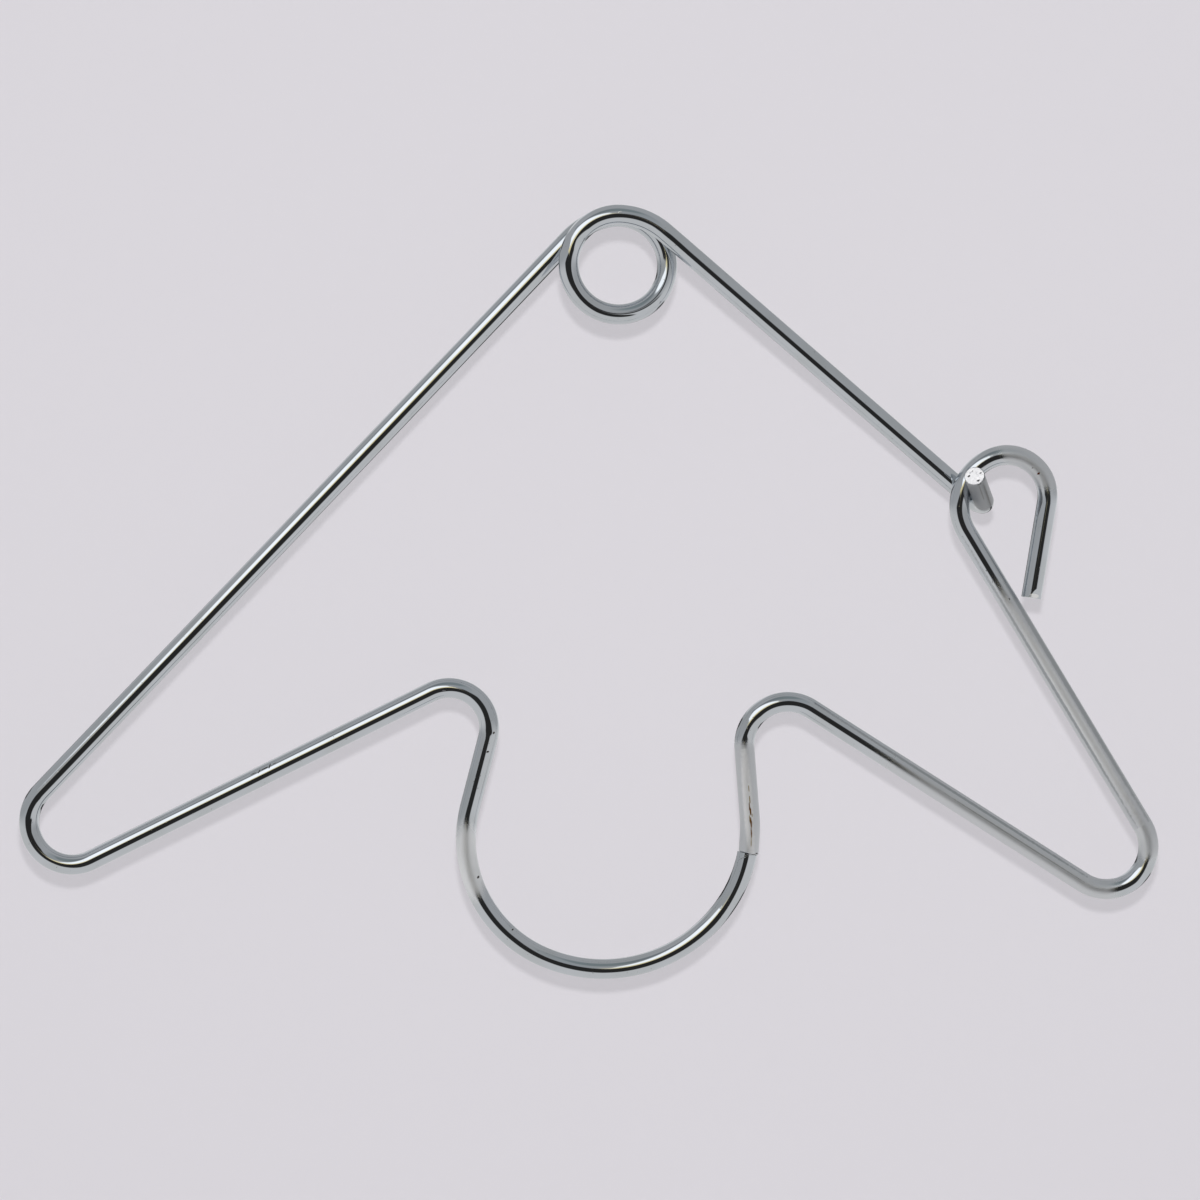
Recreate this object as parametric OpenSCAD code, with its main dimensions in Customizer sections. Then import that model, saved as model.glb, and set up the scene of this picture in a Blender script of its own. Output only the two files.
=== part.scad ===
// Trouser hanger bent from one length of chromed spring wire.
// Upright as it hangs: +X to the right, +Z up, the viewer stands on the -Y side.
// Origin: centre of the wound eye at the top. Sizes in millimetres.
// The wire path is given by the bends (centre and radius of each, on the wire
// centreline); every straight is the tangent between two neighbouring bends.

/* [Wire] */
// Diameter of the chromed wire
wire_d = 5; // [3:0.1:6]

/* [Eye] */
// Radius of the wound turns, to the wire centre
eye_r = 12.3; // [10:0.1:16]
// Distance of both arms from the eye centre, square to the arm
arm_offset = 13.5; // [12.6:0.1:18]
// Radius with which the turns ease out into the arms
ease_r = 18; // [16:0.5:30]
// Free gap between the two overlapping turns
turn_gap = 0.5; // [0.45:0.05:2]

/* [Left wing] */
// Sideways place of the left tip bend
left_tip_x = -136.5; // [-170:0.5:-110]
// Height of the left tip bend
left_tip_z = -139; // [-160:0.5:-120]
// Radius of the left tip bend
left_tip_r = 10.7; // [7:0.1:16]
// Radius of the left saddle bend
left_saddle_r = 10.1; // [7:0.1:14]

/* [Finger loop] */
// Sideways place of the loop centre
loop_x = -3.8; // [-8:0.1:2]
// Height of the loop centre
loop_z = -138.4; // [-146:0.1:-132]
// Radius of the loop at the bottom
loop_r = 37.4; // [34:0.1:42]
// Radius of the loop on the left
loop_left_r = 32.1; // [28:0.1:36]
// Radius of the loop on the right
loop_right_r = 34.8; // [30:0.1:38]
// Angle at which the left side of the loop begins
loop_left_angle = -113.4; // [-120:0.1:-105]
// Angle at which the right side of the loop begins
loop_right_angle = -39.3; // [-45:0.1:-30]
// Angle at which the bending bottom of the loop ends
flex_angle = -66.6; // [-75:0.1:-55]
// Angle of the butt seam on the right side of the loop
pinch_angle = -11.2; // [-20:0.1:-5]
// Angle at which the loop passes into its left neck
left_neck_angle = 165.4; // [155:0.1:175]
// Angle at which the loop passes into its right neck
right_neck_angle = 4.4; // [-4:0.1:15]
// Straight length of the left neck
left_neck_l = 17.6; // [8:0.1:30]
// Straight length of the right neck
right_neck_l = 16.8; // [8:0.1:30]

/* [Right wing] */
// Radius of the right saddle bend
right_saddle_r = 10.8; // [7:0.1:14]
// Sideways place of the right tip bend
right_tip_x = 122; // [105:0.5:150]
// Height of the right tip bend
right_tip_z = -145.2; // [-165:0.5:-130]
// Radius of the right tip bend
right_tip_r = 10.6; // [7:0.1:16]

/* [Keeper and crook] */
// Sideways place of the crook centre
crook_x = 97.2; // [85:0.1:110]
// Height of the crook centre
crook_z = -57.5; // [-70:0.1:-45]
// Radius at the top of the crook
crook_r = 10.2; // [9.5:0.1:14]
// Radius of the keeper bend that holds the latch
keeper_r = 13; // [12:0.1:18]
// Angle at which the keeper bend passes into the crook
crook_angle = 114.9; // [95:0.1:130]
// Direction of the free leg, from the X axis
leg_angle = -99.4; // [-115:0.1:-90]
// Length of the free leg
leg_l = 24.2; // [15:0.1:40]
// How far the sheared flat reaches up from the end of the free leg
flat_l = 2.5; // [1:0.1:5]
// Slope of the sheared flat to the leg
flat_slope = 13.7; // [8:0.1:30]
// How far the sheared flat is turned from the viewer to the right
flat_turn = 25.8; // [0:0.1:60]

/* [Latch] */
// Free gap between the latch wire and the keeper wire
latch_gap = 0.3; // [0.3:0.05:1]
// Radius of the elbow behind the crook
elbow_r = 3.5; // [3:0.1:5]
// How far the elbow corner lies inside the keeper bend, sideways from its centre
corner_in = 5.3; // [3:0.1:7]
// How far the elbow corner lies below the keeper bend's centre
corner_down = 1.6; // [0:0.1:3]
// How far the peg tip lies beside the keeper bend's centre
tip_side = 10.3; // [8:0.1:13]
// How far the peg tip lies above the keeper bend's centre
tip_up = 7.2; // [5:0.1:9]
// How far the peg tip stands in front of the wire plane
peg_out = 11.5; // [11:0.1:16]
// Broken edge on the peg tip
peg_edge = 0.1; // [0.05:0.05:0.8]

/* [Hidden] */
wire_r = wire_d / 2;
fine = 96;

function dir(a) = [cos(a), sin(a)];
function ang(v) = atan2(v.y, v.x);
function turn(a) = a - 360 * floor(a / 360);
function unit(v) = v / norm(v);
function at(p, y = 0) = [p.x, y, p.y];

// left normal of the straight that joins bend 1 to bend 2;
// s is 1 for a bend that turns left on the way and -1 for one that turns right
function across(c1, r1, s1, c2, r2, s2) =
    let (d = c2 - c1, k = (s2 * r2 - s1 * r1) / norm(d), u = unit(d))
    k * u + sqrt(1 - k * k) * [-u.y, u.x];
function touch(c, r, s, m) = c - s * r * m;

eye = [0, 0];
left_tip_c = [left_tip_x, left_tip_z];
loop_c = [loop_x, loop_z];
loop_left_c = loop_c + (loop_r - loop_left_r) * dir(loop_left_angle);
loop_right_c = loop_c + (loop_r - loop_right_r) * dir(loop_right_angle);
right_tip_c = [right_tip_x, right_tip_z];
crook_c = [crook_x, crook_z];
keeper_c = crook_c + (crook_r - keeper_r) * dir(crook_angle);

// the necks leave the loop square to their angle, and the saddle bends sit at their ends
m_lneck = -dir(left_neck_angle);
m_rneck = -dir(right_neck_angle);
left_neck_low = touch(loop_left_c, loop_left_r, 1, m_lneck);
right_neck_low = touch(loop_right_c, loop_right_r, 1, m_rneck);
left_neck_top = left_neck_low + left_neck_l * [-m_lneck.y, m_lneck.x];
right_neck_top = right_neck_low + right_neck_l * [m_rneck.y, -m_rneck.x];
left_saddle_c = left_neck_top - left_saddle_r * m_lneck;
right_saddle_c = right_neck_top - right_saddle_r * m_rneck;

// left normals of the straights, on the way from the eye round to the crook
m_long = across(eye, arm_offset, 1, left_tip_c, left_tip_r, 1);
m_lbar = across(left_tip_c, left_tip_r, 1, left_saddle_c, left_saddle_r, -1);
m_rbar = across(right_saddle_c, right_saddle_r, -1, right_tip_c, right_tip_r, 1);
m_keep = across(right_tip_c, right_tip_r, 1, keeper_c, keeper_r, -1);
leg_dir = dir(leg_angle);
m_leg = [-leg_dir.y, leg_dir.x];
leg_top = touch(crook_c, crook_r, -1, m_leg);

// eye: both arms leave it through an easing bend, each over the same angle
ease_a = acos((ease_r - arm_offset) / (ease_r - eye_r));
pitch = wire_d + turn_gap;
lead = wire_d;

// latch: the corner of the elbow and the peg tip are placed from the keeper bend
corner = keeper_c + [-corner_in, -corner_down];
tip = keeper_c + [-tip_side, tip_up];
m_latch = across(eye, arm_offset, -1, corner, 0, 1);
latch_dir = [m_latch.y, -m_latch.x];
exit_angle = ang(m_latch);
enter_angle = ang(-m_long);
exit_c = (eye_r - ease_r) * dir(exit_angle + ease_a);
exit_p = exit_c + ease_r * dir(exit_angle);
enter_c = (eye_r - ease_r) * dir(enter_angle - ease_a);
enter_p = enter_c + ease_r * dir(enter_angle);
// the arm turns back over the sway and then slopes, so that it passes behind the keeper,
// one wire radius short of where it would cross the keeper's inner side, with its free gap
sway = 1.6 * wire_d;
cross_l = norm(corner - exit_p) - keeper_r + corner_in - wire_r / 2;
slope = (wire_d + latch_gap + pitch) / (cross_l - sway / 2);
function depth(l) = -pitch + slope * (l < 0 ? 0 : l < sway ? l * l / (2 * sway) : l - sway / 2);
function arm_at(l) = at(exit_p + l * latch_dir, depth(l));
arm_dir = unit([latch_dir.x, slope, latch_dir.y]);
coil_end_l = sway + lead;
exit_l = 1.2 * wire_d;
corner_p = arm_at(norm(corner - exit_p));
tip_p = at(tip, -peg_out);
peg_dir = unit(tip_p - corner_p);
elbow_a = acos(arm_dir * peg_dir);
elbow_t = elbow_r * tan(elbow_a / 2);
elbow_in = corner_p - elbow_t * arm_dir;
elbow_out = corner_p + elbow_t * peg_dir;
elbow_n = unit(cross(arm_dir, peg_dir));
elbow_u = cross(arm_dir, elbow_n);

// eye centreline: turned angle runs from 0 at the long arm to full_a at the latch arm
full_a = 360 + turn(enter_angle - exit_angle);
function eye_plan(a) = a < ease_a ? enter_c + ease_r * dir(enter_angle - a)
    : a > full_a - ease_a ? exit_c + ease_r * dir(enter_angle - a)
    : eye_r * dir(enter_angle - a);
function ease(t) = t < 0 ? 0 : t > 1 ? 1 : t * t * (3 - 2 * t);
rise_start_angle = 125;
rise_rest_angle = 115;
rise_end_angle = full_a - rise_rest_angle;
function eye_point(a) = at(eye_plan(a),
    -pitch * ease((a - rise_start_angle) / (rise_end_angle - rise_start_angle)));
turn_steps = round(full_a / 15);
enter_dir = [-m_long.y, m_long.x];
eye_path = concat(
    [at(enter_p - lead * enter_dir)],
    [for (i = [0:turn_steps]) eye_point(full_a * i / turn_steps)],
    [for (l = [sway / 2, sway, coil_end_l]) arm_at(l)]);
path_n = len(eye_path);
function along(i) = i == 0 ? at(enter_dir) : i == path_n - 1 || i == path_n - 2 ? arm_dir
    : i == 1 ? at(enter_dir) : unit(eye_path[i + 1] - eye_path[i - 1]);

// free gap between the overlapping turns, from each point to every span half a turn away
function span_gap(p, a, b) =
    let (t = (p - a) * (b - a) / ((b - a) * (b - a)), k = min(1, max(0, t)))
    norm(p - a - k * (b - a)) - wire_d;
gaps = [for (i = [0:path_n - 1]) for (j = [i + 12:1:path_n - 2])
    span_gap(eye_path[i], eye_path[j], eye_path[j + 1])];
echo(least_gap_in_the_eye = min(gaps));

function ring(p, d) = let (v = [0, 1, 0], s = unit(cross(v, d)), w = cross(d, s))
    [for (k = [0:5]) p + wire_r * (cos(60 * k) * s + sin(60 * k) * w)];
eye_points = [for (i = [0:path_n - 1]) each ring(eye_path[i], along(i))];
eye_sides = [for (i = [0:path_n - 2]) for (k = [0:5])
    let (a = 6 * i + k, b = 6 * i + (k + 1) % 6)
    each [[a, b, a + 6], [b, b + 6, a + 6]]];
last = 6 * (path_n - 1);
eye_caps = [for (k = [1:4]) each [[0, k + 1, k], [last, last + k, last + k + 1]]];

// straight length of wire between two points of the wire plane
module straight(p, q) {
    translate(at(p))
        rotate([0, atan2(q.x - p.x, q.y - p.y), 0])
            cylinder(h = norm(q - p), d = wire_d, $fn = fine);
}

// straight length of wire in any direction
module rod(p, d, l) {
    translate(p)
        rotate([0, acos(d.z), atan2(d.y, d.x)])
            cylinder(h = l, d = wire_d, $fn = fine);
}

// bent length of wire in the wire plane, from one angle on over a sweep to the left
module arc(c, r, from, sweep) {
    translate(at(c))
        rotate([90, 0, 0])
            rotate([0, 0, from])
                rotate_extrude(angle = sweep, $fn = fine)
                    translate([r, 0])
                        circle(d = wire_d, $fn = fine);
}

// bend between two straights, given by their left normals
module bend(c, r, s, m1, m2) {
    a1 = ang(-s * m1);
    a2 = ang(-s * m2);
    if (s > 0) {
        arc(c, r, a1, turn(a2 - a1));
    } else {
        arc(c, r, a2, turn(a1 - a2));
    }
}

module long_arm() {
    color("silver")
        straight(enter_p - lead * enter_dir, touch(left_tip_c, left_tip_r, 1, m_long));
}

module left_tip() {
    color("silver")
        bend(left_tip_c, left_tip_r, 1, m_long, m_lbar);
}

module left_bar() {
    color("silver")
        straight(touch(left_tip_c, left_tip_r, 1, m_lbar),
            touch(left_saddle_c, left_saddle_r, -1, m_lbar));
}

module left_saddle() {
    color("silver")
        bend(left_saddle_c, left_saddle_r, -1, m_lbar, m_lneck);
}

module left_neck() {
    color("silver")
        straight(left_neck_top, left_neck_low);
}

module loop_left() {
    color("silver")
        arc(loop_left_c, loop_left_r, left_neck_angle, turn(loop_left_angle - left_neck_angle));
}

module loop_bottom() {
    color("silver")
        arc(loop_c, loop_r, loop_left_angle, flex_angle - loop_left_angle);
}

module loop_lower() {
    color("silver")
        arc(loop_c, loop_r, flex_angle, loop_right_angle - flex_angle);
}

module loop_right() {
    color("silver")
        arc(loop_right_c, loop_right_r, loop_right_angle, pinch_angle - loop_right_angle);
}

module loop_pinch() {
    color("silver")
        arc(loop_right_c, loop_right_r, pinch_angle, right_neck_angle - pinch_angle);
}

module right_neck() {
    color("silver")
        straight(right_neck_low, right_neck_top);
}

module right_saddle() {
    color("silver")
        bend(right_saddle_c, right_saddle_r, -1, m_rneck, m_rbar);
}

module right_bar() {
    color("silver")
        straight(touch(right_saddle_c, right_saddle_r, -1, m_rbar),
            touch(right_tip_c, right_tip_r, 1, m_rbar));
}

module right_tip() {
    color("silver")
        bend(right_tip_c, right_tip_r, 1, m_rbar, m_keep);
}

module keeper_bar() {
    color("silver")
        straight(touch(right_tip_c, right_tip_r, 1, m_keep),
            touch(keeper_c, keeper_r, -1, m_keep));
}

module keeper_bend() {
    color("silver")
        arc(keeper_c, keeper_r, crook_angle, turn(ang(m_keep) - crook_angle));
}

module hook_crook() {
    color("silver")
        arc(crook_c, crook_r, ang(m_leg), turn(crook_angle - ang(m_leg)));
}

// free leg, cut off square, with a small flat left by the shears on the right of its end
module hook_leg() {
    end_p = leg_top + leg_l * leg_dir;
    flat_side = sin(flat_turn) * at(m_leg) + [0, -cos(flat_turn), 0];
    flat_n = cos(flat_slope) * flat_side + sin(flat_slope) * at(leg_dir);
    color("silver")
        difference() {
            straight(leg_top, end_p);
            translate(at(end_p - flat_l * leg_dir) + wire_r * flat_side)
                rotate([0, acos(flat_n.z), atan2(flat_n.y, flat_n.x)])
                    translate([-wire_d, -wire_d, 0])
                        cube([2 * wire_d, 2 * wire_d, wire_d]);
        }
}

// wound eye: a little over one and a quarter turns, the second turn in front of the first
module coil_eye() {
    color("silver")
        polyhedron(points = eye_points, faces = concat(eye_sides, eye_caps), convexity = 8);
}

module coil_exit() {
    color("silver")
        rod(arm_at(coil_end_l), arm_dir, exit_l);
}

module latch_arm() {
    start_p = arm_at(coil_end_l) + exit_l * arm_dir;
    color("silver")
        rod(start_p, arm_dir, norm(elbow_in - start_p));
}

module latch_elbow() {
    hub = elbow_in - elbow_r * elbow_u;
    color("silver")
        multmatrix([
            [elbow_u.x, arm_dir.x, elbow_n.x, hub.x],
            [elbow_u.y, arm_dir.y, elbow_n.y, hub.y],
            [elbow_u.z, arm_dir.z, elbow_n.z, hub.z],
            [0, 0, 0, 1]])
            rotate_extrude(angle = elbow_a, $fn = fine)
                translate([elbow_r, 0])
                    circle(d = wire_d, $fn = fine);
}

module latch_peg() {
    peg_l = norm(tip_p - elbow_out);
    color("silver")
        translate(elbow_out)
            rotate([0, acos(peg_dir.z), atan2(peg_dir.y, peg_dir.x)]) {
                cylinder(h = peg_l - peg_edge, d = wire_d, $fn = fine);
                translate([0, 0, peg_l - peg_edge])
                    cylinder(h = peg_edge, d1 = wire_d, d2 = wire_d - 2 * peg_edge, $fn = fine);
            }
}

long_arm();
left_tip();
left_bar();
left_saddle();
left_neck();
loop_left();
loop_bottom();
loop_lower();
loop_right();
loop_pinch();
right_neck();
right_saddle();
right_bar();
right_tip();
keeper_bar();
keeper_bend();
hook_crook();
hook_leg();
coil_eye();
coil_exit();
latch_arm();
latch_elbow();
latch_peg();
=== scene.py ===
# Trouser hanger bent from one length of chromed spring wire, upright as it hangs from its eye.
# Metres; +X right, +Z up, -Y is the front, and the origin is the middle of the eye.
# Every length of wire takes a bright chrome finish whose drawing lines follow that length.
import math

import bpy
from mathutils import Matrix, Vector


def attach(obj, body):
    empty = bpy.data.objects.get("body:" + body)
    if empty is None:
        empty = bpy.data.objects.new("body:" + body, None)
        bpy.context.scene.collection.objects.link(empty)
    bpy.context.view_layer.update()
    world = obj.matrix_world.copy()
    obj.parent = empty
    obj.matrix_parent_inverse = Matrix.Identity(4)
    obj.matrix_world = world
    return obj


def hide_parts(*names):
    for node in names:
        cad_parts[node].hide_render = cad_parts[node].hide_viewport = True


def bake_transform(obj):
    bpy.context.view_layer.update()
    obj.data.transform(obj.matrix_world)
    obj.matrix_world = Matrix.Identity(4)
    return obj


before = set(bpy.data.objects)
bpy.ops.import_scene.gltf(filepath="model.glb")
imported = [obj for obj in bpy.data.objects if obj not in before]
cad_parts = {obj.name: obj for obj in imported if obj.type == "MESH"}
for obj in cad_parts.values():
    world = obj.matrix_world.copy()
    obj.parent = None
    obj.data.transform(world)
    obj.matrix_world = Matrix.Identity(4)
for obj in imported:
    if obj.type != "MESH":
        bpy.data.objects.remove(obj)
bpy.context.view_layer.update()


# ---- long arm ----------------------------------------------------------------------------
# The straight from the wound eye down to the left tip. Hard drawn spring wire, 5 mm thick,
# plated with bright chrome after bending; the die has left fine lines along it.

MM = 0.001
WIRE_R = 2.5 * MM
LONG_ARM_RUN = (-0.690334, 0.0, -0.723491)

# the plating where it is clean, clouded, specked and hazed, and a pale tone for rubbed spots that
# also paints sheen
CHROME = (0.62, 0.65, 0.69)
CLOUDED = (0.585, 0.615, 0.64)
SPECKED = (0.20, 0.19, 0.17)
HAZED = (0.72, 0.735, 0.76)
RUBBED_AND_SHEEN = (0.93, 0.94, 0.955)

# how rough the polish is, and what lines, clouds, specks and haze add to it
POLISH_ROUGH, LINE_ROUGH, CLOUD_ROUGH, SPECK_ROUGH, HAZE_ROUGH = 0.02, 0.03, 0.05, 0.22, 0.46

# how high the lines and waves stand and how deep the specks lie, in units of the bump
LINE_RISE, WAVE_RISE, SPECK_DROP = 0.25, 2.0, 0.8
BUMP_UNIT = 6e-6

# how fine the lines, waves, clouds, specks and edges of marks are, per metre, and how far
# the lines and waves are drawn out along the wire
LINE_GRAIN, WAVE_GRAIN, CLOUD_GRAIN, SPECK_GRAIN, EDGE_GRAIN = 2600.0, 330.0, 120.0, 1500.0, 1300.0
LINE_DRAWN, WAVE_DRAWN = (1.0, 1.0, 0.02), (1.0, 1.0, 0.25)

# a mark's edge: how soft and how ragged it is, the half width in mm up to which it is so
# ragged, and from where to where it fades out towards the back of the wire
MARK_SOFT, MARK_RAG, MARK_RAG_R = 0.3, 0.9, 0.4
MARK_BACK, MARK_FRONT = 0.6 * MM, -0.4 * MM


class Flow:
    """A socket of a shader: maths on it adds the nodes, and add() makes any other node."""

    def __init__(self, tree, socket=None):
        self.tree = tree
        self.socket = socket

    def add(self, kind, settings, sockets, out=0):
        node = self.tree.nodes.new(kind)
        for key, value in settings.items():
            if key == "stops":
                ramp = node.color_ramp
                for place, colour in value[1:-1]:
                    ramp.elements.new(place)
                for stop, (place, colour) in zip(ramp.elements, value):
                    stop.position = place
                    stop.color = (*colour, 1.0)
            else:
                setattr(node, key, value)
        for key, value in sockets.items():
            if isinstance(value, Flow):
                self.tree.links.new(value.socket, node.inputs[key])
            else:
                node.inputs[key].default_value = value
        return Flow(self.tree, node.outputs[out])

    def maths(self, operation, *values):
        return self.add("ShaderNodeMath", {"operation": operation}, dict(enumerate(values)))

    def vectors(self, operation, *values, out=0):
        settings = {"operation": operation}
        return self.add("ShaderNodeVectorMath", settings, dict(enumerate(values)), out)

    def __add__(self, other):
        return self.maths("ADD", self, other)

    def __sub__(self, other):
        return self.maths("SUBTRACT", self, other)

    def __rsub__(self, other):
        return self.maths("SUBTRACT", other, self)

    def __mul__(self, other):
        return self.maths("MULTIPLY", self, other)

    def __truediv__(self, other):
        return self.maths("DIVIDE", self, other)

    __radd__ = __add__
    __rmul__ = __mul__

    def step(self, low, high):
        """0 up to low and 1 from high on, smooth between them; high may lie below low."""
        t = (self - low) / (high - low)
        t = self.maths("MINIMUM", self.maths("MAXIMUM", t, 0.0), 1.0)
        return t * t * (3.0 - 2.0 * t)

    def root(self):
        return self.maths("SQRT", self)

    def between(self, low, high):
        """The colour low where this value is 0 and high where it is 1."""
        sockets = {"Factor": self, 6: (*low, 1.0), 7: (*high, 1.0)}
        return self.add("ShaderNodeMix", {"data_type": "RGBA"}, sockets, out=2)

    def tint(self, share, colour):
        """This colour, turned into another one by a share."""
        other = colour if isinstance(colour, Flow) else (*colour, 1.0)
        sockets = {"Factor": share, 6: self, 7: other}
        return self.add("ShaderNodeMix", {"data_type": "RGBA"}, sockets, out=2)

    def noise(self, grain, detail=2.0):
        """Noise over this vector."""
        sockets = {"Vector": self, "Scale": grain, "Detail": detail}
        return self.add("ShaderNodeTexNoise", {}, sockets)

    def towards(self, direction):
        """How far this vector goes in a direction."""
        return self.vectors("DOT_PRODUCT", self, tuple(direction), out="Value")

    def split(self):
        """The three numbers of this vector."""
        node = self.add("ShaderNodeSeparateXYZ", {}, {0: self}).socket.node
        return [Flow(self.tree, socket) for socket in node.outputs]

    def join(self, *numbers):
        """A vector of three numbers."""
        return self.add("ShaderNodeCombineXYZ", {}, dict(enumerate(numbers)))


def on_wire(flow):
    """Where the surface is, in the frame of the hanger at rest."""
    return flow.add("ShaderNodeTexCoord", {}, {}, out="Object")


def oval(x, z, place, turn, long_r, short_r, soft, rag=0.0):
    """1 inside an oval and 0 outside: its place, turn, half sizes, and how soft and ragged
    its edge is."""
    c, s = math.cos(math.radians(turn)), math.sin(math.radians(turn))
    dx, dz = x - place[0], z - place[1]
    a = (dx * c + dz * s) / long_r
    b = (dz * c - dx * s) / short_r
    return ((a * a + b * b).root() + rag).step(1.0 + soft, 1.0 - soft)


def straight_lines(run):
    """Wire coordinates on a straight: twice across and once along."""
    along = Vector(run).normalized()
    side = along.cross(Vector((0, 1, 0))).normalized()
    third = along.cross(side)

    def lines(flow):
        at = on_wire(flow)
        return flow.join(at.towards(side), at.towards(third), at.towards(along))
    return lines


def chrome(name, lines, dull=0.0, worn=(), marks=()):
    """Chrome over drawn wire. lines gives the wire coordinates and dull its share of haze.
    worn are its hazed stretches: a direction in x and z, and how far that way, in mm, the haze
    starts and is full. marks are pits, scratches, stains, and painted sheen, shade and reflection
    lines, ovals of the front side: x, z, turn in degrees, half length, half width, colour,
    roughness added, and depth."""
    material = bpy.data.materials.new(name)
    material.use_nodes = True
    tree = material.node_tree
    shader = tree.nodes["Principled BSDF"]
    shader.inputs["Metallic"].default_value = 1.0
    flow = Flow(tree)
    wire = lines(flow)
    at = on_wire(flow)
    drawn = flow.vectors("MULTIPLY", wire, LINE_DRAWN).noise(LINE_GRAIN, 3.0)
    wave = flow.vectors("MULTIPLY", wire, WAVE_DRAWN).noise(WAVE_GRAIN)
    cloud = at.noise(CLOUD_GRAIN, 4.0)
    specks = at.noise(SPECK_GRAIN).step(0.68, 0.76) * cloud.step(0.45, 0.6)

    rough = POLISH_ROUGH + LINE_ROUGH * drawn
    rough = rough + CLOUD_ROUGH * cloud.step(0.52, 0.74) + SPECK_ROUGH * specks
    height = drawn * LINE_RISE + wave * WAVE_RISE - specks * SPECK_DROP
    colour = cloud.step(0.35, 0.7).between(CHROME, CLOUDED).tint(specks * 0.45, SPECKED)
    x, y, z = at.split()
    haze = dull
    for run, start, full in worn:
        haze = haze + (x * run[0] + z * run[1]).step(start * MM, full * MM)
    if dull or worn:
        rough = rough + HAZE_ROUGH * haze
        colour = colour.tint(haze, HAZED)
    if marks:
        ragged = MARK_RAG * (at.noise(EDGE_GRAIN) - 0.5)
        front = y.step(MARK_BACK, MARK_FRONT)
        for px, pz, turn, long_r, short_r, tone, rougher, depth in marks:
            rag = ragged * min(1.0, MARK_RAG_R / short_r)
            place = (px * MM, pz * MM)
            mark = front * oval(x, z, place, turn, long_r * MM, short_r * MM, MARK_SOFT, rag)
            colour = colour.tint(mark, tone)
            rough = rough + rougher * mark
            height = height - depth * mark
    sockets = {"Height": height, "Distance": BUMP_UNIT, "Strength": 1.0}
    bump = flow.add("ShaderNodeBump", {}, sockets)
    tree.links.new(colour.socket, shader.inputs["Base Color"])
    tree.links.new(rough.socket, shader.inputs["Roughness"])
    tree.links.new(bump.socket, shader.inputs["Normal"])
    return material


def plate(node, lines, dull=0.0, worn=(), marks=()):
    """Gives one CAD length its chrome."""
    made = chrome(node + "_chrome", lines, dull, worn, marks)
    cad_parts[node].material_slots[0].material = made


plate("long_arm", straight_lines(LONG_ARM_RUN))


# ---- wing tips ---------------------------------------------------------------------------
# The tight bends at both ends of the hanger, formed round a pin that the wire was pulled against.
# The trousers slide over them, so they have no pits; the right one is hazed where it runs into its
# two bars, and a pale band of painted sheen lies on its outside.

LEFT_TIP = (-136.5, -139.0, 10.7)
RIGHT_TIP = (122.0, -145.2, 10.6)
# a pale band painted on the outside of the right tip as its sheen
PAINTED_TIP_SHEEN = (0.81, 0.825, 0.84)


def bend_lines(centre_x, centre_z, radius, open_angle=90.0):
    """Wire coordinates on a bend: twice across and once along; open_angle is a direction from
    the bend's centre in which there is no wire."""
    back = math.radians(open_angle)

    def lines(flow):
        rel = flow.vectors("SUBTRACT", on_wire(flow), (centre_x * MM, 0.0, centre_z * MM))
        x, y, z = rel.split()
        reach = (x * x + z * z).root()
        forward = -math.cos(back) * x - math.sin(back) * z
        beside = math.sin(back) * x - math.cos(back) * z
        angle = flow.maths("ARCTAN2", beside, forward)
        return flow.join(reach - radius * MM, y, angle * (radius * MM))
    return lines


plate("left_tip", bend_lines(*LEFT_TIP, open_angle=0.0))
plate("right_tip", bend_lines(*RIGHT_TIP, open_angle=180.0),
      worn=(((1.0, 0.0), 126.5, 121.5), ((0.0, 1.0), -150.0, -146.0)),
      marks=((130.6, -143.6, 102.0, 5.5, 0.90, PAINTED_TIP_SHEEN, 0.05, 0.0),))


# ---- left bar, saddle and neck -----------------------------------------------------------
# The lower straight that carries the trousers, the saddle bend and the short neck above the
# finger loop. The bar has scuffs near its middle; the bend and the neck have a few pits.

LEFT_BAR_RUN = (0.896265, 0.0, 0.44352)
LEFT_SADDLE = (-42.306, -115.595, 10.1)
LEFT_NECK_RUN = (-0.252, 0.0, -0.968)
PIT = (0.06, 0.05, 0.045)
SCUFF = (0.30, 0.30, 0.30)

plate("left_bar", straight_lines(LEFT_BAR_RUN), marks=(
    (-91.0, -126.9, 25.0, 0.80, 0.14, SCUFF, 0.3, 2.0),
    (-89.5, -126.3, 60.0, 0.50, 0.13, PIT, 0.3, 3.0),
    (-88.2, -125.6, 25.0, 0.90, 0.14, PIT, 0.3, 2.0),
    (-86.9, -125.0, 75.0, 0.55, 0.14, PIT, 0.3, 3.0),
    (-85.6, -124.3, 20.0, 0.60, 0.14, SCUFF, 0.3, 2.0),
    (-86.8, -126.6, 0.0, 0.24, 0.19, PIT, 0.3, 3.0)))
plate("left_saddle", bend_lines(*LEFT_SADDLE, open_angle=-90.0), marks=(
    (-31.0, -116.7, 60.0, 0.30, 0.20, PIT, 0.3, 4.0),
    (-43.5, -106.2, 5.0, 0.45, 0.10, SCUFF, 0.2, 2.0)))
plate("left_neck", straight_lines(LEFT_NECK_RUN), marks=(
    (-32.5, -121.4, 20.0, 0.32, 0.22, PIT, 0.3, 4.0),))


# ---- finger loop -------------------------------------------------------------------------
# The round loop that the fingers squeeze, rubbed dull on its left. Its bottom is the spring of the
# right wing, so that stretch is drawn as one tube.

LOOP = (-3.8, -138.4, 37.4)
LOOP_LEFT = (-5.905, -143.264, 32.1)
LOOP_RIGHT = (-1.788, -140.047, 34.8)
FLEX_START, FLEX_END, FLEX_STEPS = -113.4, -66.6, 40
ROUND = 64


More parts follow.
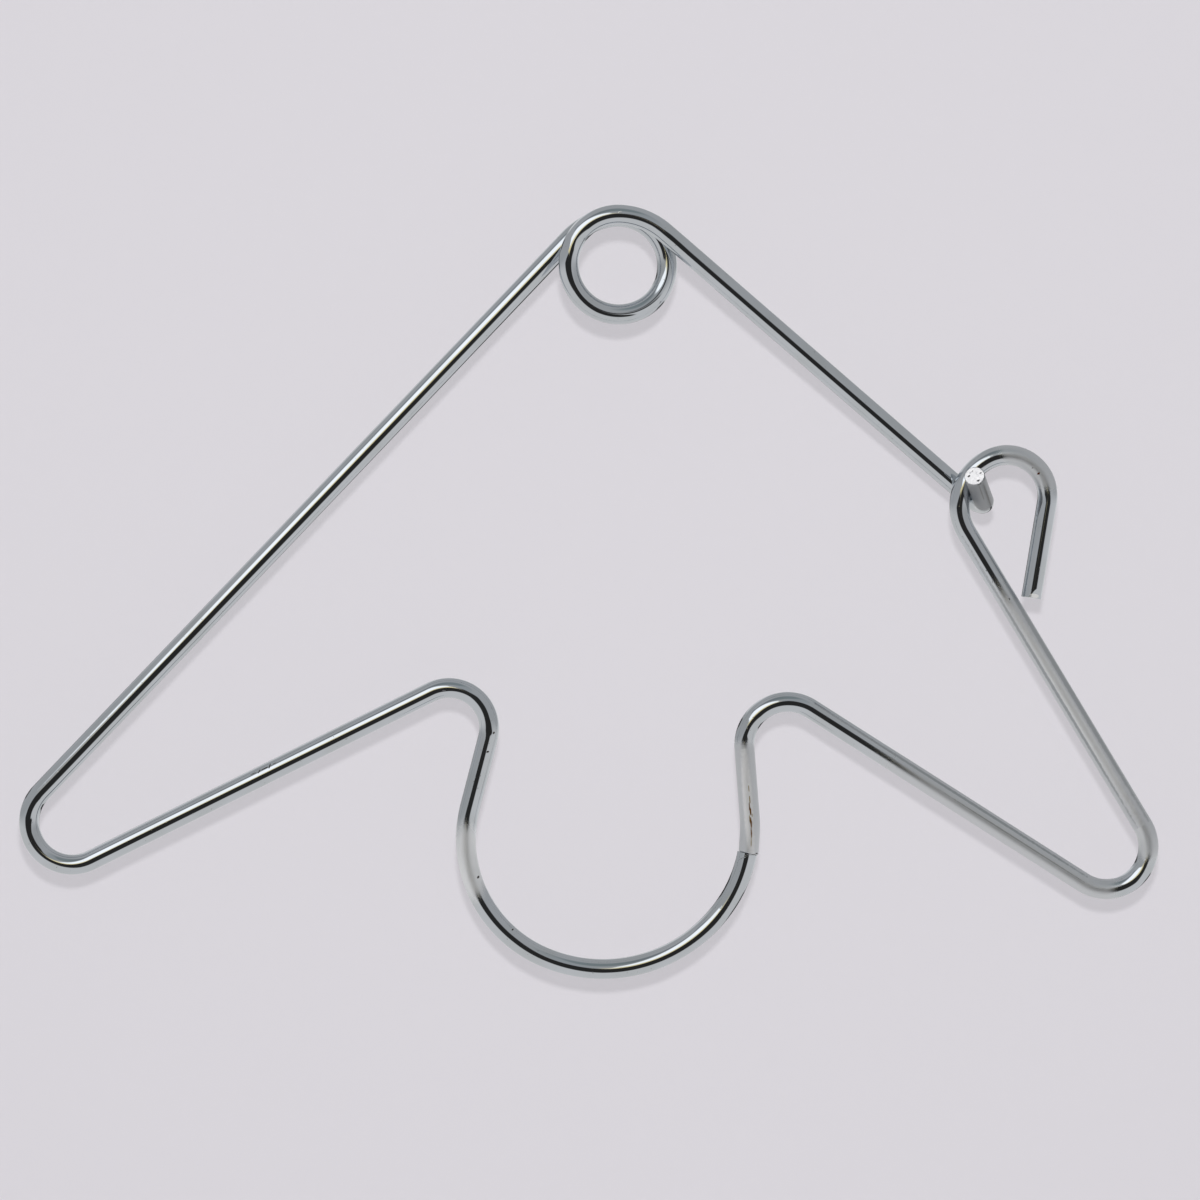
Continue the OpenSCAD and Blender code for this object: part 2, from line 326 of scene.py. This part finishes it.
def walls(rings):
    """The faces between so many rings of wire, each of ROUND points."""
    faces = []
    for i in range(rings - 1):
        for k in range(ROUND):
            a, b = i * ROUND + k, i * ROUND + (k + 1) % ROUND
            faces.append((a, b, b + ROUND, a + ROUND))
    return faces


def wire_piece(name, verts, faces, end_ring):
    """A piece of wire from its mesh, smooth but for the edges of its first ring and of
    end_ring, where it is cut off."""
    mesh = bpy.data.meshes.new(name)
    mesh.from_pydata(verts, [], faces)
    for face in mesh.polygons:
        face.use_smooth = len(face.vertices) < ROUND
    end = end_ring * ROUND
    for edge in mesh.edges:
        low, high = sorted(edge.vertices)
        edge.use_edge_sharp = high < ROUND or (end <= low and high < end + ROUND)
    mesh.update()
    made = bpy.data.objects.new(name, mesh)
    bpy.context.scene.collection.objects.link(made)
    return made


def tube(name, points, runs, radii=None):
    """A closed length of round wire along a row of points, given with their directions."""
    verts = []
    side = Vector((0, 1, 0))
    for i, (point, run) in enumerate(zip(points, runs)):
        run = Vector(run).normalized()
        side = (side - side.dot(run) * run).normalized()
        third = run.cross(side)
        r = radii[i] if radii else WIRE_R
        for k in range(ROUND):
            a = 2 * math.pi * k / ROUND
            verts.append(Vector(point) + r * (math.cos(a) * side + math.sin(a) * third))
    last = len(points) - 1
    ends = [tuple(reversed(range(ROUND))), tuple(range(last * ROUND, (last + 1) * ROUND))]
    return wire_piece(name, verts, walls(len(points)) + ends, last)


def arc_points(centre_x, centre_z, radius, start, end, count):
    """Points and directions along a bend, from one angle to another, in degrees."""
    points, runs = [], []
    way = 1 if end > start else -1
    for i in range(count + 1):
        a = math.radians(start + (end - start) * i / count)
        x, z = centre_x + radius * math.cos(a), centre_z + radius * math.sin(a)
        points.append(Vector((x, 0, z)) * MM)
        runs.append(Vector((-math.sin(a), 0, math.cos(a))) * way)
    return points, runs


plate("loop_left", bend_lines(*LOOP_LEFT, open_angle=20.0), marks=(
    (-36.9, -148.8, 99.0, 9.3, 3.4, RUBBED_AND_SHEEN, 0.48, 0.0),
    (-34.9, -152.7, 60.0, 0.34, 0.22, PIT, 0.3, 4.0),
    (-26.3, -165.8, 40.0, 0.30, 0.18, PIT, 0.3, 3.0)))
plate("loop_lower", bend_lines(*LOOP))
flex = tube("loop_bottom_tube", *arc_points(*LOOP, FLEX_START, FLEX_END, FLEX_STEPS))
flex.data.materials.append(chrome("loop_bottom_chrome", bend_lines(*LOOP)))
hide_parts("loop_bottom")
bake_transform(flex)


# ---- butt seam and right neck ------------------------------------------------------------
# The two ends of the wire meet on the right of the loop in a butt weld, the upper one set a little
# to the right. The heat dulled the chrome above it, and a thread of rust runs there; a long pale
# band is painted along the neck as its sheen.

SEAM_ANGLE, RIGHT_NECK_ANGLE = -11.2, 4.4
PINCH_L, RIGHT_NECK_L = 9.48, 16.8
PINCH_STEPS, RIGHT_NECK_STEPS = 60, 24
SEAM_STEP, SEAM_STEP_L = 0.28, 4.5
SEAM_GROOVE, SEAM_GROOVE_L = 0.22, 0.3
# a long pale band painted along the right neck as its sheen
PAINTED_NECK_SHEEN = (0.97, 0.97, 0.98)
RUST = (0.25, 0.13, 0.045)
RUST_PALE = (0.48, 0.38, 0.22)

plate("loop_right", bend_lines(*LOOP_RIGHT, open_angle=160.0), marks=(
    (32.2, -147.25, -10.0, 0.34, 0.16, PIT, 0.3, 4.0),
    (34.5, -147.15, 20.0, 0.30, 0.16, PIT, 0.3, 4.0),
    (31.1, -147.95, 25.0, 0.75, 0.07, SCUFF, 0.3, 4.0),
    (33.4, -147.15, -3.0, 1.20, 0.05, SCUFF, 0.3, 4.0)))

points, runs = arc_points(*LOOP_RIGHT, SEAM_ANGLE, RIGHT_NECK_ANGLE, PINCH_STEPS)
top = math.radians(RIGHT_NECK_ANGLE)
up = Vector((-math.sin(top), 0, math.cos(top)))
neck_foot = points[-1]
for i in range(1, RIGHT_NECK_STEPS + 1):
    points.append(neck_foot + up * RIGHT_NECK_L * MM * i / RIGHT_NECK_STEPS)
    runs.append(up)
radii = []
for i, point in enumerate(points):
    past = i * PINCH_L / PINCH_STEPS
    offset = SEAM_STEP * max(0.0, 1 - past / SEAM_STEP_L) ** 2
    points[i] = point + Vector((offset * MM, 0, 0))
    radii.append(WIRE_R - SEAM_GROOVE * MM * max(0.0, 1 - past / SEAM_GROOVE_L) ** 2)
neck = tube("right_neck_wire", points, runs, radii)
neck.data.materials.append(chrome("right_neck_chrome", straight_lines(up), dull=1.0, marks=(
    (32.35, -134.0, 94.0, 15.0, 1.15, PAINTED_NECK_SHEEN, 0.10, 0.0),
    (32.60, -130.6, 96.0, 0.8, 0.09, RUST_PALE, 0.1, 1.0),
    (32.85, -133.4, 95.0, 0.9, 0.15, RUST_PALE, 0.1, 1.0),
    (32.75, -135.0, 92.0, 0.9, 0.13, RUST, 0.1, 2.0),
    (33.05, -136.3, 96.0, 1.1, 0.21, RUST, 0.1, 2.0),
    (32.85, -138.1, 95.0, 0.9, 0.12, RUST_PALE, 0.1, 1.0),
    (33.15, -139.1, 96.0, 1.4, 0.22, RUST, 0.1, 2.0),
    (33.45, -137.3, 88.0, 0.5, 0.10, RUST_PALE, 0.1, 1.0),
    (33.25, -141.5, 93.0, 1.2, 0.15, RUST, 0.1, 2.0),
    (33.20, -143.9, 90.0, 1.2, 0.10, RUST_PALE, 0.1, 1.0),
    (32.30, -146.9, 0.0, 0.34, 0.14, PIT, 0.3, 4.0),
    (34.60, -146.8, 10.0, 0.26, 0.13, PIT, 0.3, 4.0),
    (33.50, -146.95, 2.0, 1.6, 0.05, SCUFF, 0.2, 3.0))))
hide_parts("loop_pinch", "right_neck")
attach(neck, "wing")


# ---- right saddle and bar ----------------------------------------------------------------
# The saddle bend on the right and the lower straight of the right wing. The bar is rubbed to a
# soft haze towards its outer end, and two thin dark lines are painted along it as reflections.

RIGHT_SADDLE = (42.389, -119.798, 10.8)
RIGHT_BAR_RUN = (0.843067, 0.0, -0.537809)
# dark stripes painted along the right bar and the keeper bar as reflections
PAINTED_DARK_STRIPE = (0.46, 0.48, 0.50)
PAINTED_FAINT_STRIPE = (0.48, 0.49, 0.50)

plate("right_saddle", bend_lines(*RIGHT_SADDLE, open_angle=-90.0),
      worn=(((0.0, 1.0), -117.6, -120.8),))
plate("right_bar", straight_lines(RIGHT_BAR_RUN), worn=(((0.843, -0.538), 108.0, 140.0),), marks=(
    (82.79, -130.85, -32.5, 46.0, 0.28, PAINTED_DARK_STRIPE, 0.0, 0.0),
    (98.86, -142.83, -32.5, 22.0, 0.15, PAINTED_FAINT_STRIPE, 0.0, 0.0)))


# ---- keeper and crook --------------------------------------------------------------------
# The bar back up from the right tip, the keeper bend that holds the latch, the crook over it and
# the free leg with its sheared end. Use has rubbed bar and crook dull and has scratched the bar's
# top; the crook has one dark spot. The bar's pale middle, its darker flank and the dark line along
# it are painted reflections. The leg's sheared flat is bare steel painted pale as a highlight, and
# a nick by it is dented and darkened with painted shade.

KEEPER_RUN = (-0.514902, 0.0, 0.857249)
KEEPER_BEND = (98.379, -60.040, 13.0)
CROOK = (97.2, -57.5, 10.2)
LEG_RUN = (-0.163326, 0.0, -0.986572)
PAINTED_KEEPER_FLANK = (0.50, 0.52, 0.54)
CROOK_SPOT = (0.17, 0.05, 0.025)
# the leg's sheared flat, bare steel painted pale as its highlight, and a dented nick darkened with
# painted shade
LEG_CUT_HIGHLIGHT = (0.92, 0.92, 0.92)
LEG_NICK_SHADE = (0.5, 0.5, 0.5)

# on the keeper bar, the pale middle, the darker flank and the dark line are painted reflections;
# the rest are scuffs and a pit
plate("keeper_bar", straight_lines(KEEPER_RUN), worn=(((0.515, -0.857), 111.0, 125.0),), marks=(
    (113.60, -111.10, 121.0, 34.5, 1.00, RUBBED_AND_SHEEN, 0.05, 0.0),
    (110.60, -102.38, 121.0, 43.5, 0.55, PAINTED_KEEPER_FLANK, 0.0, 0.0),
    (107.80, -104.05, 121.0, 42.0, 0.32, PAINTED_DARK_STRIPE, 0.0, 0.0),
    (91.9, -76.2, 120.0, 0.26, 0.10, SCUFF, 0.3, 2.0),
    (93.4, -79.0, 100.0, 0.35, 0.07, SCUFF, 0.3, 2.0),
    (95.6, -80.8, 130.0, 0.40, 0.08, SCUFF, 0.3, 2.0),
    (97.6, -83.3, 115.0, 0.30, 0.12, PIT, 0.3, 3.0)))
plate("keeper_bend", bend_lines(*KEEPER_BEND, open_angle=0.0))
plate("hook_crook", bend_lines(*CROOK, open_angle=-90.0), marks=(
    (102.7, -49.0, -40.0, 9.6, 4.6, HAZED, 0.42, 0.0),
    (104.9, -52.0, 30.0, 0.36, 0.24, CROOK_SPOT, 0.3, 3.0),
    (103.4, -50.6, 40.0, 0.20, 0.12, SCUFF, 0.2, 2.0)))
plate("hook_leg", straight_lines(LEG_RUN), marks=(
    (103.9, -82.5, -10.0, 1.15, 0.50, LEG_CUT_HIGHLIGHT, 0.35, 0.0),
    (102.9, -82.6, 40.0, 0.35, 0.16, LEG_NICK_SHADE, 0.2, 3.0)))


# ---- wound eye ---------------------------------------------------------------------------
# One and a quarter turns wound round a mandrel, the second turn sliding forward over the
# first, and both ends eased out into the arms. The spring force of the latch comes from it.

EYE_R = 12.3
EASE_R = 18.0
EASE_ANGLE = 37.8636
ENTER_ANGLE, EXIT_ANGLE = 136.343, 49.5407
FULL_TURN = 360 + ENTER_ANGLE - EXIT_ANGLE
PITCH = 5.5
LEAD = 5.0
SWAY = 8.0
RISE_START, RISE_END = 125.0, FULL_TURN - 115.0
TURN_STEPS, SWAY_STEPS = 220, 16
LATCH_WAY = Vector((0.760867, 0.0, -0.648908))
LATCH_SLOPE = 0.114442
GLINT = (0.9, 0.9, 0.9)


def smooth(t):
    """0 up to 0 and 1 from 1 on, smooth between them."""
    t = min(1.0, max(0.0, t))
    return t * t * (3 - 2 * t)


def ray(angle):
    """The direction at an angle, in degrees."""
    return Vector((math.cos(math.radians(angle)), 0, math.sin(math.radians(angle))))


enter_middle = (EYE_R - EASE_R) * ray(ENTER_ANGLE - EASE_ANGLE)
exit_middle = (EYE_R - EASE_R) * ray(EXIT_ANGLE + EASE_ANGLE)


def turned(a):
    """A point of the turns, a degrees on from the long arm."""
    way = ray(ENTER_ANGLE - a)
    if a < EASE_ANGLE:
        point = enter_middle + EASE_R * way
    elif a > FULL_TURN - EASE_ANGLE:
        point = exit_middle + EASE_R * way
    else:
        point = EYE_R * way
    lift = PITCH * smooth((a - RISE_START) / (RISE_END - RISE_START))
    return point + Vector((0, -lift, 0))


def out_along_arm(far):
    """A point of the latch arm, so far on from the turns: it sways back and then slopes."""
    back = far * far / (2 * SWAY) if far < SWAY else far - SWAY / 2
    point = exit_middle + EASE_R * ray(EXIT_ANGLE) + far * LATCH_WAY
    return point + Vector((0, LATCH_SLOPE * back - PITCH, 0))


path = [turned(0) + LEAD * share * Vector(LONG_ARM_RUN) for share in (1.0, 0.75, 0.5, 0.25)]
path += [turned(FULL_TURN * i / TURN_STEPS) for i in range(TURN_STEPS + 1)]
path += [out_along_arm((SWAY + LEAD) * i / SWAY_STEPS) for i in range(1, SWAY_STEPS + 1)]
path = [point * MM for point in path]
runs = [(after - before).normalized() for before, after in zip(path, path[2:])]
arm_run = (LATCH_WAY + Vector((0, LATCH_SLOPE, 0))).normalized()
runs = [Vector(LONG_ARM_RUN) * -1] + runs + [arm_run]
eye = tube("wound_eye", path, runs)
eye_lines = bend_lines(0, 0, EYE_R, open_angle=-120.0)
eye.data.materials.append(chrome("wound_eye_chrome", eye_lines, marks=(
    (0.5, 12.8, 10.0, 0.42, 0.16, GLINT, 0.25, -3.0),)))
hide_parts("coil_eye")
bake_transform(eye)


# ---- latch -------------------------------------------------------------------------------
# The springy arm from the eye to the crook, the elbow behind it and the peg that comes
# forward through it. The peg was sheared off, which left a bright, frosted and pitted end.

ARM_FOOT_L, ARM_FOOT_STEPS = 6.0, 16
ELBOW_END = Vector((91.4712, 0.593002, -58.8101)) * MM
PEG_TIP = Vector((88.0789, -11.5, -52.8397)) * MM
# grey painted as the shade that falls on the elbow and the peg inside the crook
PAINTED_CROOK_SHADE = (0.37, 0.38, 0.395)

arm_foot = path[-1]
arm_head = arm_foot + arm_run * ARM_FOOT_L * MM
foot_points = [arm_foot.lerp(arm_head, i / ARM_FOOT_STEPS) for i in range(ARM_FOOT_STEPS + 1)]
exit_wire = tube("arm_foot", foot_points, [arm_run] * len(foot_points))
exit_wire.data.materials.append(chrome("arm_foot_chrome", straight_lines(arm_run)))
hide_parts("coil_exit")
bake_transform(exit_wire)
plate("latch_arm", straight_lines(arm_run))
# the elbow is darkened with painted shade inside the crook
plate("latch_elbow", straight_lines(arm_run), marks=(
    (92.0, -59.5, 0.0, 4.5, 4.5, PAINTED_CROOK_SHADE, 0.1, 0.0),))

# the peg's end, in mm: its rings, how small its rim is, how deep its face lies, how uneven
# that is, and its pits, each with its place on the face and its size
FACE_RINGS = 14
RIM_SHARE, RIM_ROUND = 0.955, ((0.16, 1.0), (0.05, 0.985))
FACE_DEPTH = 0.12
FACE_WAVE = 0.03
SHEAR_PIT_DEPTH = 0.22
SHEAR_PITS = ((-1.4, 0.2, 0.34), (1.5, 0.7, 0.30), (0.9, -1.3, 0.40), (-0.5, 1.5, 0.20))


def torn(a):
    """How far the torn rim of the peg stands out at an angle, in mm."""
    return 0.06 * math.sin(3 * a + 0.8) + 0.05 * math.sin(7 * a) + 0.03 * math.sin(13 * a + 2)


peg_run = (PEG_TIP - ELBOW_END).normalized()
peg_side = (Vector((1, 0, 0)) - Vector((1, 0, 0)).dot(peg_run) * peg_run).normalized()
peg_up = peg_run.cross(peg_side)
peg_l = (PEG_TIP - ELBOW_END).length
rings = [(peg_l * t, 1.0) for t in (0.0, 0.3, 0.6, 0.9)]
rings += [(peg_l - short * MM, share) for short, share in RIM_ROUND] + [(peg_l, RIM_SHARE)]
verts = []
for far, share in rings:
    for k in range(ROUND):
        a = 2 * math.pi * k / ROUND
        rim = (torn(a) - FACE_DEPTH) * MM if share < 1.0 else 0.0
        spot = (WIRE_R * share) * (math.cos(a) * peg_side + math.sin(a) * peg_up)
        verts.append(ELBOW_END + peg_run * (far + rim) + spot)
for i in range(1, FACE_RINGS + 1):
    inward = 1 - i / FACE_RINGS
    for k in range(ROUND if i < FACE_RINGS else 1):
        a = 2 * math.pi * k / ROUND
        reach = WIRE_R / MM * RIM_SHARE * inward
        u, v = reach * math.cos(a), reach * math.sin(a)
        height = torn(a) * inward ** 3 - FACE_DEPTH
        height += FACE_WAVE * math.sin(5.1 * u + 1.0) * math.sin(4.3 * v)
        for pu, pv, pr in SHEAR_PITS:
            height -= SHEAR_PIT_DEPTH * math.exp(-((u - pu) ** 2 + (v - pv) ** 2) / (pr * pr))
        verts.append(PEG_TIP + peg_run * height * MM + (u * peg_side + v * peg_up) * MM)
rim_ring = len(rings) - 1
hub = len(verts) - 1
inner = hub - ROUND
faces = walls(len(rings) + FACE_RINGS - 1)
faces += [(inner + k, inner + (k + 1) % ROUND, hub) for k in range(ROUND)]
faces.append(tuple(reversed(range(ROUND))))
peg = wire_piece("latch_peg_wire", verts, faces, rim_ring)
for face in peg.data.polygons[rim_ring * ROUND:-1]:
    face.material_index = 1
# the peg is darkened with painted shade inside the crook, with two scuffs
peg.data.materials.append(chrome("latch_peg_chrome", straight_lines(peg_run), dull=0.6, marks=(
    (90.5, -56.5, 0.0, 9.0, 9.0, PAINTED_CROOK_SHADE, 0.1, 0.0),
    (91.7, -57.4, 118.0, 2.8, 0.24, SCUFF, 0.1, 2.0),
    (90.1, -56.9, 118.0, 2.0, 0.16, SCUFF, 0.1, 2.0))))

SHEAR_BRIGHT, SHEAR_GREY, SHEAR_PIT = (0.93, 0.93, 0.94), (0.62, 0.62, 0.64), (0.05, 0.05, 0.05)
SHEAR_GRAIN, SHEAR_BUMP = 1700.0, 3e-5
shear = bpy.data.materials.new("sheared_steel")
shear.use_nodes = True
shader = shear.node_tree.nodes["Principled BSDF"]
shader.inputs["Metallic"].default_value = 0.15
shader.inputs["Roughness"].default_value = 0.38
flow = Flow(shear.node_tree)
at = on_wire(flow)
u = at.towards(peg_side) - PEG_TIP.dot(peg_side)
v = at.towards(peg_up) - PEG_TIP.dot(peg_up)
grain = at.noise(SHEAR_GRAIN, 4.0)
colour = grain.step(0.52, 0.72).between(SHEAR_BRIGHT, SHEAR_GREY)
for pu, pv, pr in SHEAR_PITS:
    place, rag = (pu * MM, pv * MM), 1.6 * (grain - 0.5)
    pit = oval(u, v, place, 20.0, pr * MM, 0.62 * pr * MM, 0.35, rag)
    colour = colour.tint(pit, SHEAR_PIT)
sockets = {"Height": grain, "Distance": SHEAR_BUMP, "Strength": 1.0}
bump = flow.add("ShaderNodeBump", {}, sockets)
shear.node_tree.links.new(colour.socket, shader.inputs["Base Color"])
shear.node_tree.links.new(bump.socket, shader.inputs["Normal"])
peg.data.materials.append(shear)
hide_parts("latch_peg")
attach(peg, "latch")


# ---- studio ------------------------------------------------------------------------------
# A pale wall that takes the soft shadow, 24 mm back so that the latch arm can bend clear of
# it, a pale floor, one soft lamp, the camera, and the room that only the bright wire mirrors.

WALL_Y = 0.024
FLOOR_Z = -0.30
SPREAD = 4.0
PALE = (0.695, 0.675, 0.71)
PLAIN_SHARE = 0.66


def pale_paint(name):
    """Paint that shows from the front only, more than half of it as written in any light."""
    material = bpy.data.materials.new(name)
    material.use_nodes = True
    tree = material.node_tree
    shader = tree.nodes["Principled BSDF"]
    shader.inputs["Base Color"].default_value = (*PALE, 1.0)
    shader.inputs["Roughness"].default_value = 0.9
    shader.inputs["Specular IOR Level"].default_value = 0.1
    flow = Flow(tree)
    seen = flow.add("ShaderNodeLightPath", {}, {}, out="Is Camera Ray")
    back = flow.add("ShaderNodeNewGeometry", {}, {}, out="Backfacing")
    plain = flow.add("ShaderNodeEmission", {}, {"Color": (*PALE, 1.0), "Strength": 1.0})
    clear = flow.add("ShaderNodeBsdfTransparent", {}, {})
    paint = Flow(tree, shader.outputs[0])
    front = flow.add("ShaderNodeMixShader", {}, {0: seen * PLAIN_SHARE, 1: paint, 2: plain})
    both = flow.add("ShaderNodeMixShader", {}, {0: back, 1: front, 2: clear})
    tree.links.new(both.socket, tree.nodes["Material Output"].inputs["Surface"])
    return material


def pale_sheet(name, corners):
    """A wall or floor that isn't part of the hanger and isn't mirrored in it."""
    mesh = bpy.data.meshes.new(name)
    mesh.from_pydata(corners, [], [(0, 1, 2, 3)])
    mesh.materials.append(pale_paint(name + "_paint"))
    made = bpy.data.objects.new(name, mesh)
    bpy.context.scene.collection.objects.link(made)
    made.visible_glossy = False


pale_sheet("wall", [(-SPREAD, WALL_Y, FLOOR_Z), (SPREAD, WALL_Y, FLOOR_Z),
                    (SPREAD, WALL_Y, SPREAD), (-SPREAD, WALL_Y, SPREAD)])
pale_sheet("floor", [(-SPREAD, -SPREAD, FLOOR_Z), (SPREAD, -SPREAD, FLOOR_Z),
                     (SPREAD, SPREAD, FLOOR_Z), (-SPREAD, SPREAD, FLOOR_Z)])

LAMP_PLACE, LAMP_AIM = Vector((0.0018, -1.05, 0.0686)), Vector((0, 0, -0.08))
LAMP_SIZE, LAMP_POWER = 0.059, 6.76
lamp_data = bpy.data.lights.new("soft_lamp", "AREA")
lamp_data.shape = "DISK"
lamp_data.size = LAMP_SIZE
lamp_data.energy = LAMP_POWER
lamp = bpy.data.objects.new("soft_lamp", lamp_data)
bpy.context.scene.collection.objects.link(lamp)
lamp.location = LAMP_PLACE
lamp.rotation_euler = (LAMP_AIM - LAMP_PLACE).to_track_quat("-Z", "Y").to_euler()
lamp.visible_glossy = False

CAMERA_PLACE = (-0.0045, -1.05, -0.08355)
CAMERA_LENS, CAMERA_SENSOR = 126.0, 36.0
camera_data = bpy.data.cameras.new("camera")
camera_data.lens = CAMERA_LENS
camera_data.sensor_width = CAMERA_SENSOR
camera = bpy.data.objects.new("camera", camera_data)
bpy.context.scene.collection.objects.link(camera)
camera.location = CAMERA_PLACE
camera.rotation_euler = (math.radians(90), 0, 0)
bpy.context.scene.camera = camera

# The room as the wire mirrors it: dim places overhead, a bright window and a dark shape in
# front of the hanger. A place in it is given as the slope, in x and z, of the wire that
# mirrors it to the front. OVERHEAD has each dim place's middle, turn in degrees, half length,
# half width, softness and light; REACHES has, by bearing in degrees, how far out from the
# middle the dark shape and the window reach.
ROOM_LOW, ROOM_HIGH = (0.70, 0.695, 0.69), (0.45, 0.455, 0.46)
WINDOW, FRINGE, DARK = (1.42, 1.44, 1.46), (1.02, 0.88, 0.50), (0.028, 0.028, 0.027)
BEHIND_BRIGHT, BEHIND_DARK = (0.80, 0.80, 0.80), (0.05, 0.05, 0.05)
SOFT_LIGHT = (0.40, 0.40, 0.40)
OVERHEAD = (
    ((0.0, 0.43), 0, 0.20, 0.14, 0.45, (0.25, 0.285, 0.291)),
    ((0.10, 0.27), 60, 0.18, 0.05, 0.60, (0.38, 0.40, 0.41)),
    ((-0.36, 0.36), 130, 0.08, 0.03, 0.53, (0.295, 0.32, 0.34)),
    ((-0.20, 0.41), 26, 0.16, 0.04, 0.50, (0.20, 0.215, 0.23)))
REACHES = (
    (-180, 0.34, 0.0), (-165, 0.32, 0.0), (-150, 0.29, 0.0), (-125, 0.24, 0.0), (-108, 0.28, 0.0),
    (-90, 0.34, 0.0), (-60, 0.36, 0.0), (-46, 0.39, 0.0), (-37, 0.30, 0.0), (-28, 0.22, 0.0),
    (-17, 0.17, 0.0), (-9, 0.34, 0.0), (-2, 0.27, 0.0), (12, 0.18, 0.0), (30, 0.20, 0.0),
    (48, 0.21, 0.0), (62, 0.12, 0.0), (75, 0.11, 0.0), (90, 0.06, 0.0), (97, 0.035, 0.20),
    (105, 0.03, 0.27), (116, 0.03, 0.35), (123, 0.035, 0.40), (135, 0.06, 0.45), (146, 0.07, 0.38),
    (153, 0.10, 0.0), (165, 0.17, 0.0), (172, 0.24, 0.0), (180, 0.34, 0.0))

world = bpy.data.worlds.new("room")
bpy.context.scene.world = world
world.use_nodes = True
tree = world.node_tree
tree.nodes.clear()
flow = Flow(tree)
way = flow.add("ShaderNodeTexCoord", {}, {}, out="Generated")
slope = flow.vectors("NORMALIZE", flow.vectors("ADD", way, (0.0, -1.0, 0.0)))
px, _, pz = slope.split()
wx, wy, wz = way.split()

room = pz.step(-0.12, 0.10).between(ROOM_LOW, ROOM_HIGH)
for place, turn, long_r, short_r, soft, light in OVERHEAD:
    room = room.tint(oval(px, pz, place, turn, long_r, short_r, soft), light)
bearing = flow.maths("ARCTAN2", pz, px) / (2 * math.pi) + 0.5
stops = [((angle + 180) / 360, (dark, bright, 0.0)) for angle, dark, bright in REACHES]
dark, bright, _ = flow.add("ShaderNodeValToRGB", {"stops": stops}, {"Fac": bearing}).split()
reach = (px * px + pz * pz).root()
in_window = (reach - bright).step(0.045, -0.045)
in_dark = (reach - dark).step(0.035, -0.035)
on_fringe = (reach - dark).step(0.12, 0.05)
on_fringe = on_fringe * bearing.step(0.736, 0.778) * bearing.step(0.944, 0.917)
room = room.tint(in_window, WINDOW).tint(on_fringe, FRINGE).tint(in_dark, DARK)

# behind the hanger, a bright band over a dark one, lying aslant
behind = wy.step(0.35, 0.75)
band = 0.5 * wx + 0.87 * wz
bright_band = behind * band.step(0.06, 0.14) * band.step(0.50, 0.40)
dark_band = behind * band.step(-0.16, -0.12) * band.step(0.02, -0.02)
room = room.tint(bright_band, BEHIND_BRIGHT).tint(dark_band, BEHIND_DARK)

is_gloss = flow.add("ShaderNodeLightPath", {}, {}, out="Is Glossy Ray")
is_seen = flow.add("ShaderNodeLightPath", {}, {}, out="Is Camera Ray")
shown = is_seen.between(SOFT_LIGHT, PALE).tint(is_gloss, room)
light = flow.add("ShaderNodeBackground", {}, {"Color": shown, "Strength": 1.0})
out = tree.nodes.new("ShaderNodeOutputWorld")
tree.links.new(light.socket, out.inputs["Surface"])

bpy.context.scene.view_settings.view_transform = "Standard"
